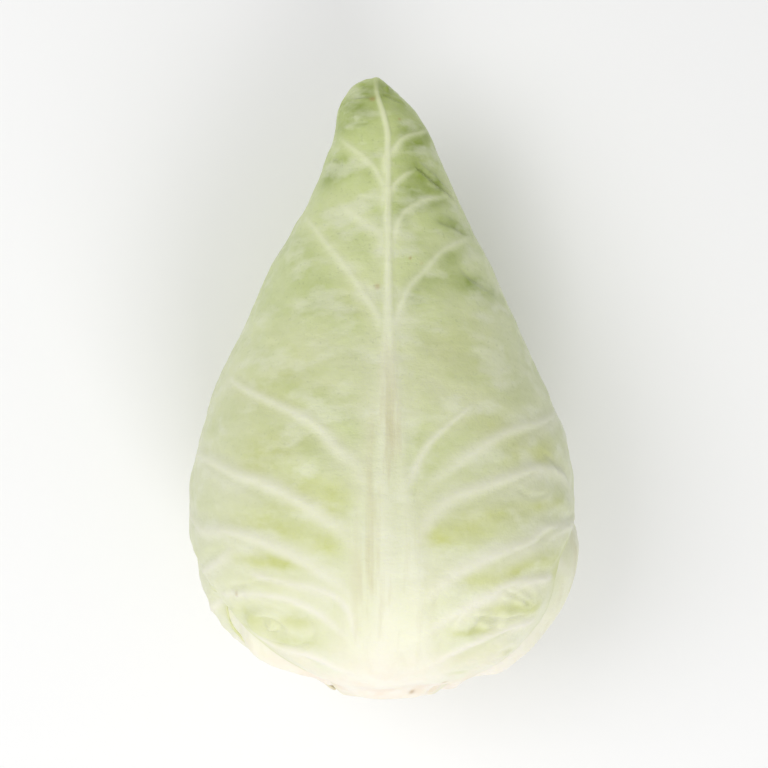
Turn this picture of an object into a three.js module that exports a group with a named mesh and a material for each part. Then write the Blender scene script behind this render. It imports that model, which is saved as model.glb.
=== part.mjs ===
// A pointed (sweetheart) hearted cabbage lying on its side, in millimetres.
// +Y runs from the cut stalk to the tip, +Z is up, and the head rests on the plane z = 0.
//
// Every surface is drawn on one outer envelope of the head. A place on it is given by
// "reach", 0 at the middle of the cut stalk and 1 at the tip, and by "turn", the angle
// round the head from its right-hand side. A layer below the envelope is the envelope
// shrunk towards the middle of the head, so layers at different depths never cross.

import * as THREE from 'three';

// ---------------------------------------------------------------- driving dimensions

const HEAD_LENGTH = 225;
const HEAD_WIDTH = 141.5;
const HEAD_HEIGHT = 126;

const BLADE_THICKNESS = 1.6;
const RIB_EXTRA_THICKNESS = 4.0;      // at the foot of the midrib, on top of the blade
const RIB_HALF_WIDTH = 11;
const LAYER_GAP = 1.5;                // between one leaf and the next

const BELLY = 0.36;                   // where the head is thickest, as a part of its length
const FLOOR_TO_AXIS = 62;             // the underside is pressed flat by this choice
const LAYER_REFERENCE = 66;           // half thickness at which a depth is true to size

const STALK_REACH = 0.062;            // the stalk fills the envelope up to this reach
const LEAF_FOOT_REACH = 0.064;        // and every leaf starts just beyond it
const STALK_DEPTH = 16;
const HEART_GAP = 0.8;                // between the heart and the stalk below it

// Outline of the head: place along the length, then how far it reaches to the left, to the
// right, upwards and downwards, as parts of the length, the width and the height.
const HEAD_OUTLINE = [
  [0.004, 0.000, 0.000, 0.000, 0.000],
  [0.000, 0.155, 0.175, 0.175, 0.175],
  [0.018, 0.190, 0.215, 0.210, 0.215],
  [0.033, 0.250, 0.300, 0.270, 0.280],
  [0.060, 0.345, 0.365, 0.340, 0.360],
  [0.092, 0.400, 0.410, 0.400, 0.420],
  [0.140, 0.450, 0.460, 0.450, 0.475],
  [0.193, 0.480, 0.490, 0.490, 0.515],
  [0.260, 0.500, 0.497, 0.508, 0.530],
  [0.330, 0.500, 0.485, 0.500, 0.525],
  [0.407, 0.473, 0.465, 0.472, 0.500],
  [0.482, 0.435, 0.420, 0.430, 0.455],
  [0.558, 0.380, 0.363, 0.370, 0.397],
  [0.629, 0.327, 0.311, 0.317, 0.337],
  [0.691, 0.280, 0.267, 0.270, 0.286],
  [0.753, 0.226, 0.219, 0.222, 0.230],
  [0.811, 0.183, 0.178, 0.183, 0.190],
  [0.860, 0.156, 0.144, 0.155, 0.159],
  [0.904, 0.134, 0.115, 0.127, 0.131],
  [0.940, 0.122, 0.080, 0.103, 0.106],
  [0.969, 0.105, 0.040, 0.075, 0.078],
  [0.988, 0.080, 0.010, 0.045, 0.045],
  [0.998, 0.000, 0.000, 0.000, 0.000],
];

// Half width of a leaf to its left and right, as turn in degrees, at places along it.
const LEAF_OUTLINE_PLACES = [0.0, 0.08, 0.16, 0.22, 0.28, 0.34, 0.42, 0.60, 0.85, 1.0];
const PLAIN_OUTLINE = {
  left: [44, 50, 60, 68, 76, 82, 86, 88, 90, 90],
  right: [44, 50, 60, 68, 76, 82, 86, 88, 90, 90],
};
const FRONT_OUTLINE = {
  left: [50, 53, 57, 71, 85, 100, 110, 110, 106, 95],
  right: [57, 65, 68, 70, 78, 91, 102, 108, 106, 95],
};

// The loose leaves from the outermost inwards: where the midrib lies round the head, how far
// the tip hoods over the point, and how wide the blade is beside the plain outline.
const LEAVES = [
  { name: 'front_leaf', turn: 90, hood: 0.040, outline: FRONT_OUTLINE, widen: 1.0 },
  { name: 'underside_leaf', turn: 228, hood: 0.034, outline: PLAIN_OUTLINE, widen: 1.04 },
  { name: 'right_leaf', turn: 4, hood: 0.030, outline: PLAIN_OUTLINE, widen: 0.98 },
  { name: 'left_leaf', turn: 152, hood: 0.026, outline: PLAIN_OUTLINE, widen: 0.96 },
  { name: 'back_right_leaf', turn: 286, hood: 0.022, outline: PLAIN_OUTLINE, widen: 0.96 },
  { name: 'upper_right_leaf', turn: 52, hood: 0.018, outline: PLAIN_OUTLINE, widen: 0.92 },
];

const LEAF_STEPS_ALONG = 22;
const LEAF_STEPS_ACROSS = 16;
const HEART_STEPS_ALONG = 18;
const STEPS_ROUND = 28;

const LEAF_GREEN = 0xc6d295;
const HEART_GREEN = 0xdbe3a8;
const STALK_CREAM = 0xe9e2cb;

// ---------------------------------------------------------------- small helpers

const degrees = THREE.MathUtils.degToRad;
const blend = THREE.MathUtils.lerp;
const clamp = THREE.MathUtils.clamp;
const smoothStep = (x, from, to) => THREE.MathUtils.smoothstep(x, from, to);

// A smooth curve through the values at rising knots, as a function of x.
function smoothCurve(knots, values) {
  const last = knots.length - 1;
  const slope = (i) => (values[i + 1] - values[i]) / (knots[i + 1] - knots[i]);
  const tangents = values.map((_, i) => {
    if (i === 0) return slope(0);
    if (i === last) return slope(last - 1);
    return (slope(i - 1) + slope(i)) / 2;
  });
  return (x) => {
    const place = clamp(x, knots[0], knots[last]);
    let i = 0;
    while (i < last - 1 && place > knots[i + 1]) i += 1;
    const span = knots[i + 1] - knots[i];
    const t = (place - knots[i]) / span;
    const rise = values[i + 1] - values[i];
    const a = tangents[i] * span - rise;
    const b = rise - tangents[i + 1] * span;
    return values[i] + rise * t + t * (1 - t) * (a * (1 - t) + b * t);
  };
}

const wrapTurn = (angle) => Math.atan2(Math.sin(angle), Math.cos(angle));

// ---------------------------------------------------------------- envelope of the head

const rows = HEAD_OUTLINE.map(([along, left, right, up, down]) => ({
  along: along * HEAD_LENGTH,
  left: left * HEAD_WIDTH,
  right: right * HEAD_WIDTH,
  up: up * HEAD_HEIGHT,
  down: down * HEAD_HEIGHT,
}));
const meanRadius = (row) => (row.left + row.right + row.up + row.down) / 4;

const travelled = [0];
for (let i = 1; i < rows.length; i += 1) {
  const step = Math.hypot(rows[i].along - rows[i - 1].along, meanRadius(rows[i]) - meanRadius(rows[i - 1]));
  travelled.push(travelled[i - 1] + step);
}
const reachKnots = travelled.map((length) => length / travelled[travelled.length - 1]);
const outlineCurve = (pick) => smoothCurve(reachKnots, rows.map(pick));
const alongAt = outlineCurve((row) => row.along);
const leftAt = outlineCurve((row) => row.left);
const rightAt = outlineCurve((row) => row.right);
const upAt = outlineCurve((row) => row.up);
const downAt = outlineCurve((row) => row.down);
const radiusAt = outlineCurve(meanRadius);

const MIDDLE = new THREE.Vector3(0, BELLY * HEAD_LENGTH, FLOOR_TO_AXIS);

// A point at a depth below the envelope. The underside lies pressed flat on the surface.
function headPoint(reach, turn, depth) {
  const across = Math.cos(turn);
  const upward = Math.sin(turn);
  const point = new THREE.Vector3(
    across * (across > 0 ? rightAt(reach) : leftAt(reach)),
    alongAt(reach),
    FLOOR_TO_AXIS + upward * (upward > 0 ? upAt(reach) : downAt(reach)),
  );
  point.sub(MIDDLE).multiplyScalar(1 - depth / LAYER_REFERENCE).add(MIDDLE);
  point.z = Math.max(point.z, depth);
  return point;
}

// ---------------------------------------------------------------- leaves

const leafHalfTurn = new Map();
for (const leaf of LEAVES) {
  const side = (values) => smoothCurve(LEAF_OUTLINE_PLACES, values.map((v) => degrees(v * leaf.widen)));
  leafHalfTurn.set(leaf, { left: side(leaf.outline.left), right: side(leaf.outline.right) });
}
const halfTurn = (leaf, side, place) => (side > 0 ? leafHalfTurn.get(leaf).left : leafHalfTurn.get(leaf).right)(place);

// Near the tip a leaf is pushed past the point of the head, so that it hoods over it.
const hoodShift = (leaf, reach) => leaf.hood * smoothStep(reach, 0.72, 0.97);

function shiftTurn(leaf, reach, turn, shift) {
  const x = (1 - reach) * Math.cos(turn) + shift * Math.cos(degrees(leaf.turn));
  const y = (1 - reach) * Math.sin(turn) + shift * Math.sin(degrees(leaf.turn));
  return { reach: 1 - Math.hypot(x, y), turn: Math.atan2(y, x) };
}

// place runs 0 to 1 from the foot to the tip, and side -1 to 1 across the blade.
function leafSpot(leaf, place, side) {
  const reach = blend(LEAF_FOOT_REACH, 1, place);
  const turn = degrees(leaf.turn) + side * halfTurn(leaf, side, place);
  return shiftTurn(leaf, reach, turn, -hoodShift(leaf, reach));
}

// The same place seen from a leaf's own midrib.
function fromMidrib(leaf, reach, turn) {
  const own = shiftTurn(leaf, reach, turn, hoodShift(leaf, reach));
  return {
    place: clamp((own.reach - LEAF_FOOT_REACH) / (1 - LEAF_FOOT_REACH), 0, 1),
    turn: wrapTurn(own.turn - degrees(leaf.turn)),
  };
}

function leafThickness(leaf, reach, turn) {
  const own = fromMidrib(leaf, reach, turn);
  const fromRib = (own.turn * radiusAt(reach)) / RIB_HALF_WIDTH;
  const taper = (1 - own.place) ** 2;
  return BLADE_THICKNESS + RIB_EXTRA_THICKNESS * taper * Math.exp(-fromRib * fromRib);
}

// 1 where a leaf covers the head, falling to 0 some way outside its margin.
const COVER_FULL = degrees(15);
const COVER_NONE = degrees(34);
const NARROW_RADIUS = 44;
function leafCover(leaf, reach, turn) {
  const own = fromMidrib(leaf, reach, turn);
  const beyond = Math.abs(own.turn) - halfTurn(leaf, own.turn, own.place);
  const scaled = beyond * Math.min(1, radiusAt(reach) / NARROW_RADIUS);
  return 1 - smoothStep(scaled, COVER_FULL, COVER_NONE);
}

// How far the outermost few leaves push what is below them under the envelope.
function depthBelow(count, reach, turn) {
  let depth = 0;
  for (const leaf of LEAVES.slice(0, count)) {
    depth += (leafThickness(leaf, reach, turn) + LAYER_GAP) * leafCover(leaf, reach, turn);
  }
  return depth;
}

// ---------------------------------------------------------------- closed solids

// Joins rings or rows of points into triangles. Each row is a list of vertex numbers.
function stitch(triangles, rowA, rowB) {
  for (let i = 0; i + 1 < rowA.length; i += 1) {
    triangles.push(rowA[i], rowA[i + 1], rowB[i + 1]);
    triangles.push(rowA[i], rowB[i + 1], rowB[i]);
  }
}

function fan(triangles, row, apex) {
  for (let i = 0; i + 1 < row.length; i += 1) triangles.push(row[i], row[i + 1], apex);
}

function closedGeometry(points, triangles) {
  let volume = 0;
  for (let i = 0; i < triangles.length; i += 3) {
    const [a, b, c] = [points[triangles[i]], points[triangles[i + 1]], points[triangles[i + 2]]];
    volume += a.dot(new THREE.Vector3().crossVectors(b, c));
  }
  if (volume < 0) triangles.reverse();
  const geometry = new THREE.BufferGeometry().setFromPoints(points);
  geometry.setIndex(triangles);
  geometry.computeVertexNormals();
  return geometry;
}

// Rows are closer together near the foot and the tip, where the head curves most.
const easeEnds = (t) => t - 0.09 * Math.sin(2 * Math.PI * t);

function leafGeometry(index) {
  const leaf = LEAVES[index];
  const points = [];
  const triangles = [];
  const faces = [0, 1].map((inner) => {
    const place = (step) => easeEnds(step / LEAF_STEPS_ALONG);
    const add = (along, side) => {
      const spot = leafSpot(leaf, along, side);
      const thickness = inner * leafThickness(leaf, spot.reach, spot.turn);
      const depth = depthBelow(index, spot.reach, spot.turn) + thickness;
      return points.push(headPoint(spot.reach, spot.turn, depth)) - 1;
    };
    const grid = [];
    for (let i = 0; i < LEAF_STEPS_ALONG; i += 1) {
      const row = [];
      for (let j = 0; j <= LEAF_STEPS_ACROSS; j += 1) {
        row.push(add(place(i), (2 * j) / LEAF_STEPS_ACROSS - 1));
      }
      grid.push(row);
    }
    return { grid, apex: add(1, 0) };
  });

  const [outer, inner] = faces;
  const lastRow = LEAF_STEPS_ALONG - 1;
  for (let i = 0; i < lastRow; i += 1) {
    stitch(triangles, outer.grid[i], outer.grid[i + 1]);
    stitch(triangles, inner.grid[i + 1], inner.grid[i]);
  }
  fan(triangles, outer.grid[lastRow], outer.apex);
  fan(triangles, [...inner.grid[lastRow]].reverse(), inner.apex);

  const rim = ({ grid, apex }) => {
    const rising = grid.map((row) => row[LEAF_STEPS_ACROSS]);
    const falling = grid.map((row) => row[0]).reverse();
    return [...grid[0], ...rising.slice(1), apex, ...falling];
  };
  stitch(triangles, rim(inner), rim(outer));
  return closedGeometry(points, triangles);
}

// Between the stalk and the leaf feet the heart's underside runs smoothly to its middle.
function heartDepth(reach, turn) {
  const packed = depthBelow(LEAVES.length, Math.max(reach, LEAF_FOOT_REACH), turn) + LAYER_GAP;
  return blend(STALK_DEPTH, packed, smoothStep(reach, 0, LEAF_FOOT_REACH));
}

// A closed body from rings round the head, given as a reach and a depth for every turn,
// with a point at either end.
function ringedGeometry(start, rings, end) {
  const points = [start];
  const numbered = rings.map((at) => {
    const first = points.length;
    for (let j = 0; j < STEPS_ROUND; j += 1) points.push(at((2 * Math.PI * j) / STEPS_ROUND));
    return Array.from({ length: STEPS_ROUND + 1 }, (_, j) => first + (j % STEPS_ROUND));
  });
  const last = points.push(end) - 1;
  const triangles = [];
  fan(triangles, [...numbered[0]].reverse(), 0);
  for (let i = 0; i + 1 < numbered.length; i += 1) stitch(triangles, numbered[i], numbered[i + 1]);
  fan(triangles, numbered[numbered.length - 1], last);
  return closedGeometry(points, triangles);
}

// The heart: the closed head of inner leaves, as one body.
function heartGeometry() {
  const places = [STALK_REACH / 2, STALK_REACH];
  for (let i = 1; i < HEART_STEPS_ALONG; i += 1) {
    places.push(blend(STALK_REACH, 1, easeEnds(i / HEART_STEPS_ALONG)));
  }
  const rings = places.map((reach) => (turn) => headPoint(reach, turn, heartDepth(reach, turn)));
  return ringedGeometry(headPoint(0, 0, heartDepth(0, 0)), rings, headPoint(1, 0, heartDepth(1, 0)));
}

// The stalk: a flat cut face at the foot, a tapering side, and a top just under the heart.
function stalkGeometry() {
  const topDepth = (reach, turn) => heartDepth(reach, turn) - HEART_GAP;
  const middle = STALK_REACH / 2;
  const rings = [
    (turn) => headPoint(middle, turn, 0),
    (turn) => headPoint(STALK_REACH, turn, 0),
    (turn) => headPoint(STALK_REACH, turn, topDepth(STALK_REACH, turn)),
    (turn) => headPoint(middle, turn, topDepth(middle, turn)),
  ];
  return ringedGeometry(headPoint(0, 0, 0), rings, headPoint(0, 0, topDepth(0, 0)));
}

// ---------------------------------------------------------------- assembly

function addPiece(parent, name, geometry, color, roughness) {
  const material = new THREE.MeshStandardMaterial({ color, roughness, metalness: 0 });
  const mesh = new THREE.Mesh(geometry, material);
  mesh.name = name;
  parent.add(mesh);
}

const head = new THREE.Group();
LEAVES.forEach((leaf, index) => addPiece(head, leaf.name, leafGeometry(index), LEAF_GREEN, 0.55));
addPiece(head, 'heart', heartGeometry(), HEART_GREEN, 0.5);
addPiece(head, 'stalk', stalkGeometry(), STALK_CREAM, 0.8);

// The origin is under the middle of the head, on the surface that it lies on.
const bounds = new THREE.Box3().setFromObject(head);
head.position.x = -(bounds.min.x + bounds.max.x) / 2;
head.position.y = -(bounds.min.y + bounds.max.y) / 2;

const group = new THREE.Group();
group.add(head);

export default group;
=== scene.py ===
"""A pointed hearted cabbage on its side, seen from straight above.

Every leaf is drawn on one envelope of the head. A place on the head is given by its reach,
0 in the middle of the cut stalk and 1 at the tip, and its turn, the angle round the head
from its right-hand side. A layer under the envelope is the envelope shrunk towards the
middle of the head, so layers at different depths never cross. Lengths are in metres.
"""

import bpy
import numpy as np
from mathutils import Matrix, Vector


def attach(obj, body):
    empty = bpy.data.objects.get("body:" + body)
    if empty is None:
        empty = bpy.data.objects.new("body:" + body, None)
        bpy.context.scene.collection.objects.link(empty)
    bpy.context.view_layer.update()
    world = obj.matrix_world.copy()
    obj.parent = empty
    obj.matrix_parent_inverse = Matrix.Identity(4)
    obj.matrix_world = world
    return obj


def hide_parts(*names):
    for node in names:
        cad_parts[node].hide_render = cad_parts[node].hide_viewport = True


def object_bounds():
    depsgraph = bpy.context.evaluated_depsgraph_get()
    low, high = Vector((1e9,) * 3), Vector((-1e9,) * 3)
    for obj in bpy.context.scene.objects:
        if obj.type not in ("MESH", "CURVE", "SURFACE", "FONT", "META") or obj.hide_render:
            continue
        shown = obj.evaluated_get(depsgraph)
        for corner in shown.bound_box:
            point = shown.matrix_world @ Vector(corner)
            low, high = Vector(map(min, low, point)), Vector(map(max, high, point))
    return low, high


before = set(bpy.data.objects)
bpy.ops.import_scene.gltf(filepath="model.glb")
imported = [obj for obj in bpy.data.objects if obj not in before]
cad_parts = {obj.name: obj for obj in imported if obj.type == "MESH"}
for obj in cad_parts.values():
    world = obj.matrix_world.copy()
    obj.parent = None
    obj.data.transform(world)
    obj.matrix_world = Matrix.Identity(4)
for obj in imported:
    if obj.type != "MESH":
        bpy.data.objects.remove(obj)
cad_low, cad_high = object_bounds()

MM = 0.001
HEAD_LENGTH = (cad_high.y - cad_low.y) * 1.0002
HEAD_WIDTH = (cad_high.x - cad_low.x) * 1.008
HEAD_HEIGHT = cad_high.z * 1.0027
AXIS_X = (cad_low.x + cad_high.x) / 2 + 0.0015 * HEAD_WIDTH
FOOT_Y = cad_low.y
AXIS_Z = 0.492 * HEAD_HEIGHT
BELLY = 0.36
LAYER_REFERENCE = 0.524 * HEAD_HEIGHT

LEAF_FOOT_REACH = 0.064
STALK_REACH = 0.062
LAYER_STEP = 2.4 * MM
RIB_STEP = 3.2 * MM
RIB_HALF_WIDTH = 11 * MM
STALK_DEPTH = 16 * MM
BLADE = 0.9 * MM
FOOT_THICKNESS = 3.0 * MM
HEART_GAP = 1.2 * MM
STALK_GAP = 0.8 * MM

# Seeds of a leaf's ripples, counted from the leaf's own seed.
CELL_SEED, STRAND_SEED, FOOT_SEED, MARGIN_SEED = 0, 3, 5, 7
SWELL_SEED, CRUMPLE_SEED, CRINKLE_SEED, GREEN_SEED = 40, 60, 80, 90
PUCKER_SEED, HEART_SEED, STALK_SEED = 71, 31, 5

# Outline of the head: place along the length, then how far it reaches to the left, to the
# right, upwards and downwards, as parts of the length, the width and the height.
HEAD_OUTLINE = np.array([
    [0.004, 0.000, 0.000, 0.000, 0.000],
    [0.000, 0.155, 0.175, 0.175, 0.175],
    [0.018, 0.190, 0.215, 0.210, 0.215],
    [0.033, 0.250, 0.300, 0.270, 0.280],
    [0.060, 0.345, 0.365, 0.340, 0.360],
    [0.092, 0.400, 0.410, 0.400, 0.420],
    [0.140, 0.450, 0.460, 0.450, 0.475],
    [0.193, 0.480, 0.490, 0.490, 0.515],
    [0.260, 0.500, 0.497, 0.508, 0.530],
    [0.330, 0.500, 0.485, 0.500, 0.525],
    [0.407, 0.473, 0.465, 0.472, 0.500],
    [0.482, 0.435, 0.420, 0.430, 0.455],
    [0.558, 0.380, 0.363, 0.370, 0.397],
    [0.629, 0.327, 0.311, 0.317, 0.337],
    [0.691, 0.280, 0.267, 0.270, 0.286],
    [0.753, 0.226, 0.219, 0.222, 0.230],
    [0.811, 0.176, 0.178, 0.183, 0.190],
    [0.860, 0.147, 0.144, 0.155, 0.159],
    [0.904, 0.122, 0.117, 0.127, 0.131],
    [0.935, 0.104, 0.090, 0.103, 0.106],
    [0.962, 0.076, 0.056, 0.075, 0.078],
    [0.982, 0.046, 0.036, 0.045, 0.047],
    [0.993, 0.020, 0.018, 0.020, 0.020],
    [0.996, 0.000, 0.000, 0.000, 0.000],
])
TIP_LEAN = 3.8 * MM

# Half width of a leaf to its left and right, as turn in degrees, at places along it.
OUTLINE_PLACES = [0.0, 0.08, 0.16, 0.22, 0.28, 0.34, 0.42, 0.60, 0.85, 1.0]
PLAIN_OUTLINE = [44, 50, 60, 68, 76, 82, 86, 88, 90, 90]
FRONT_LEFT = [50, 52, 54, 68, 85, 100, 110, 110, 106, 95]
FRONT_RIGHT = [57, 65, 68, 66, 66, 90, 102, 108, 106, 95]

# Everything drawn on the front leaf is given on the head itself: place, from 0 at the leaf's
# foot to 1 at the tip of the head, and turn from the leaf's middle in degrees, positive to
# the right. Each vein has such spots, then its width and height in mm near the midrib.
FRONT_VEINS = [
    ([(0.805, 0), (0.836, -11), (0.862, -33), (0.889, -68)], 1.3, 0.75),
    ([(0.737, -3), (0.765, -20), (0.790, -38)], 1.7, 0.22),
    ([(0.620, -3), (0.666, -13), (0.699, -23), (0.729, -37), (0.752, -51), (0.78, -80)], 1.4, 0.75),
    ([(0.370, -4), (0.408, -7), (0.429, -13), (0.462, -21), (0.490, -36), (0.53, -70)], 1.5, 0.60),
    ([(0.270, -4), (0.309, -8), (0.339, -15), (0.368, -26), (0.386, -36), (0.398, -49),
      (0.411, -62), (0.42, -85)], 1.9, 1.00),
    ([(0.185, -6), (0.222, -7), (0.254, -12), (0.287, -23), (0.305, -32), (0.318, -43),
      (0.322, -53), (0.320, -65), (0.345, -84)], 2.0, 1.00),
    ([(0.318, -43), (0.292, -50), (0.271, -63), (0.258, -76)], 1.1, 0.55),
    ([(0.150, -8), (0.225, -11), (0.250, -20), (0.259, -30), (0.272, -44)], 1.5, 0.60),
    ([(0.170, -10), (0.225, -24), (0.240, -39), (0.237, -61)], 1.3, 0.45),
    ([(0.847, 1), (0.858, 9), (0.878, 24), (0.890, 57), (0.897, 90)], 1.2, 0.70),
    ([(0.790, 2), (0.808, 8), (0.823, 18), (0.838, 36)], 1.2, 0.70),
    ([(0.715, 3), (0.729, 6), (0.760, 11), (0.780, 22), (0.793, 40), (0.801, 71)], 1.4, 0.80),
    ([(0.600, 4), (0.654, 11), (0.684, 22), (0.711, 34), (0.729, 54), (0.740, 80)], 1.5, 0.85),
    ([(0.380, 6), (0.430, 12), (0.459, 19), (0.490, 30)], 1.1, 0.40),
    ([(0.360, 7), (0.398, 17), (0.433, 30), (0.453, 42), (0.466, 63), (0.48, 88)], 1.6, 0.70),
    ([(0.270, 6), (0.323, 10), (0.353, 15), (0.373, 22), (0.389, 36), (0.403, 52),
      (0.395, 66), (0.37, 78)], 1.9, 0.95),
    ([(0.210, 8), (0.261, 17), (0.293, 31), (0.309, 45), (0.326, 54), (0.323, 76)], 2.0, 0.90),
    ([(0.309, 45), (0.318, 60), (0.335, 80)], 1.0, 0.50),
    ([(0.180, 10), (0.225, 25), (0.243, 33), (0.256, 39), (0.258, 55), (0.250, 64)], 1.7, 0.85),
    ([(0.120, 14), (0.160, 28), (0.185, 42), (0.195, 60)], 1.6, 0.60),
    ([(0.110, -14), (0.140, -27), (0.155, -42), (0.165, -55)], 1.6, 0.60),
]

# Half width and height of a midrib in mm, at places along the leaf.
RIB_PLACES = [0.0, 0.10, 0.28, 0.45, 0.62, 0.75, 1.0]
RIB_WIDTHS = [22, 18, 12, 6.0, 1.8, 1.25, 0.8]
RIB_HEIGHTS = [1.0, 0.9, 0.6, 0.55, 0.70, 0.65, 0.05]

# How far the midrib of the front leaf lies to the right of the leaf's middle, in mm.
FRONT_RIB_PLACES = [0.0, 0.15, 0.30, 0.60, 0.85, 0.93, 0.97, 1.0]
FRONT_RIB_SWAY = [0.0, 0.6, 1.6, 1.4, 1.2, 0.8, 1.0, 0.0]

# Deeper green between the veins of the front leaf, partly its own colour and partly painted
# shade beside its veins and folds: place, turn, spread along, spread across in degrees, and
# strength.
FRONT_DEEP_GREEN_AND_SHADE = [
    (0.886, 55, 0.020, 30, 1.0), (0.871, 28, 0.022, 14, 0.8), (0.857, 50, 0.021, 22, 0.5),
    (0.824, 34, 0.020, 18, 1.1), (0.801, 30, 0.017, 18, 1.0), (0.811, 50, 0.014, 14, 0.8),
    (0.760, 12, 0.017, 5, 0.8), (0.780, 24, 0.011, 11, 0.7), (0.788, 44, 0.010, 19, 0.6),
    (0.756, 46, 0.011, 11, 0.7), (0.746, 62, 0.014, 19, 0.8), (0.645, 12, 0.020, 5, 0.7),
    (0.671, 20, 0.014, 7, 0.6), (0.698, 33, 0.014, 11, 0.6), (0.712, 48, 0.013, 16, 0.5),
    (0.672, 38, 0.014, 9, 0.6), (0.663, 50, 0.014, 12, 0.8), (0.650, 64, 0.014, 14, 0.6),
    (0.930, -46, 0.018, 30, 0.9), (0.914, -28, 0.017, 19, 0.8), (0.897, -60, 0.015, 27, 0.7),
    (0.961, -24, 0.014, 27, 0.8), (0.958, 14, 0.022, 24, 0.8), (0.925, 46, 0.020, 27, 0.5),
    (0.832, -48, 0.017, 16, 0.8), (0.835, -13, 0.017, 7, 0.4), (0.820, -60, 0.020, 16, 0.5),
    (0.635, -30, 0.020, 8, 0.3), (0.671, -42, 0.028, 14, 0.3), (0.715, -62, 0.020, 19, 0.3),
    (0.966, 44, 0.017, 40, 1.0), (0.948, -24, 0.006, 30, 0.8),
]
# Yellow-green swellings low on the front leaf, given in the same way.
FRONT_YELLOW = [
    (0.367, -14, 0.020, 5, 0.9), (0.382, -22, 0.018, 7, 0.8), (0.409, -40, 0.016, 8, 0.7),
    (0.436, -34, 0.018, 9, 0.9), (0.309, -16, 0.018, 5, 0.8), (0.325, -26, 0.015, 8, 0.8),
    (0.334, -38, 0.010, 9, 0.7), (0.351, -30, 0.010, 9, 0.5), (0.286, -36, 0.009, 9, 1.0),
    (0.281, -26, 0.008, 7, 0.7), (0.257, -32, 0.008, 7, 0.6), (0.232, -43, 0.012, 6, 0.7),
    (0.203, -28, 0.012, 5, 0.8), (0.169, -31, 0.012, 6, 0.9), (0.206, -47, 0.012, 5, 0.7),
    (0.156, -42, 0.010, 6, 0.5), (0.210, -62, 0.010, 8, 0.9), (0.186, -55, 0.009, 6, 0.9),
    (0.314, 15, 0.018, 5, 0.8), (0.328, 24, 0.016, 8, 0.9), (0.348, 36, 0.012, 10, 0.8),
    (0.354, 51, 0.007, 5, 0.9), (0.356, 62, 0.012, 4, 0.9), (0.425, 48, 0.020, 10, 0.7),
    (0.424, 60, 0.022, 6, 1.0), (0.463, 35, 0.018, 12, 0.4), (0.260, 30, 0.010, 7, 0.8),
    (0.272, 42, 0.012, 10, 0.9), (0.283, 56, 0.012, 9, 0.9), (0.259, 62, 0.010, 5, 0.8),
    (0.220, 38, 0.009, 8, 0.7), (0.216, 51, 0.013, 8, 0.8), (0.188, 28, 0.009, 6, 0.8),
    (0.181, 38, 0.008, 9, 0.6), (0.141, 53, 0.008, 4, 0.9), (0.102, 32, 0.006, 4, 0.7),
    (0.156, 31, 0.020, 12, 0.4), (0.170, -36, 0.040, 18, 0.3), (0.300, 70, 0.014, 6, 0.6),
    (0.520, -40, 0.050, 18, 0.4), (0.560, 30, 0.050, 16, 0.4), (0.640, -14, 0.030, 10, 0.4),
]
# Puckers low on the front leaf: place, turn, size in mm, height in mm, ring spacing in mm.
FRONT_PUCKERS = [
    (0.192, -39, 13, 1.00, 8.5), (0.232, 45, 8, 0.42, 8.5), (0.195, 34, 9, 0.60, 9.0),
    (0.962, 46, 4, 0.60, 10), (0.140, 50, 7, 0.40, 8.0), (0.240, -49, 6, 0.40, 7.0),
    (0.285, 62, 7, 0.35, 8.5),
]
# Sharp folds on the front leaf, each with its width and depth in mm.
FRONT_FOLDS = [
    ([(0.844, 28), (0.826, 40), (0.808, 56), (0.793, 76)], 0.8, 1.1),
    ([(0.946, -42), (0.948, -28), (0.949, -8)], 0.6, 0.5),
    ([(0.925, -72), (0.948, -60), (0.964, -48), (0.976, -20)], 0.7, 0.6),
    ([(0.955, 18), (0.946, 34), (0.928, 60)], 0.6, 0.5),
    ([(0.905, -50), (0.898, -30), (0.903, -14)], 0.9, 0.35),
    ([(0.850, -60), (0.846, -48), (0.836, -40)], 0.8, 0.40),
    ([(0.760, 34), (0.752, 48), (0.738, 66)], 0.9, 0.45),
    ([(0.425, 56), (0.412, 62), (0.396, 68)], 0.9, 0.40),
    ([(0.247, 36), (0.236, 43), (0.222, 50)], 0.7, 0.6),
    ([(0.214, 26), (0.202, 38), (0.206, 52)], 0.9, 0.5),
    ([(0.262, -28), (0.258, -38), (0.246, -50)], 0.7, 0.4),
    ([(0.690, 42), (0.668, 50), (0.650, 66)], 0.8, 0.4),
    ([(0.384, 40), (0.366, 47), (0.372, 58)], 0.8, 0.4),
]
# Small brown scars on the front leaf: place, turn, size in mm.
FRONT_SCARS = [
    (0.944, -6, 1.0), (0.660, -3, 0.8), (0.050, -36, 1.1), (0.034, 20, 1.0), (0.072, 31, 0.8),
    (0.908, 26, 0.5), (0.700, 14, 0.5), (0.694, 20, 0.4), (0.240, -49, 0.6),
]

def plain_leaf(node, slot, turn, hood, seed, crumple, widen, steps):
    """A leaf with the plain outline. Turn is in degrees; steps are along and across it."""
    return {"node": node, "slot": slot, "turn": turn, "hood": hood, "seed": seed,
            "crumple": crumple, "left": PLAIN_OUTLINE, "right": PLAIN_OUTLINE,
            "widen": widen, "steps": steps}


OUTER_STEPS = (208, 160)
INNER_STEPS = (160, 128)
FRONT_LEAF = {
    "node": "front_leaf", "slot": "outer_leaf", "turn": 90, "hood": 0.040, "seed": 11,
    "crumple": 0.0, "left": FRONT_LEFT, "right": FRONT_RIGHT, "widen": 1.0, "steps": (344, 248),
}
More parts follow.
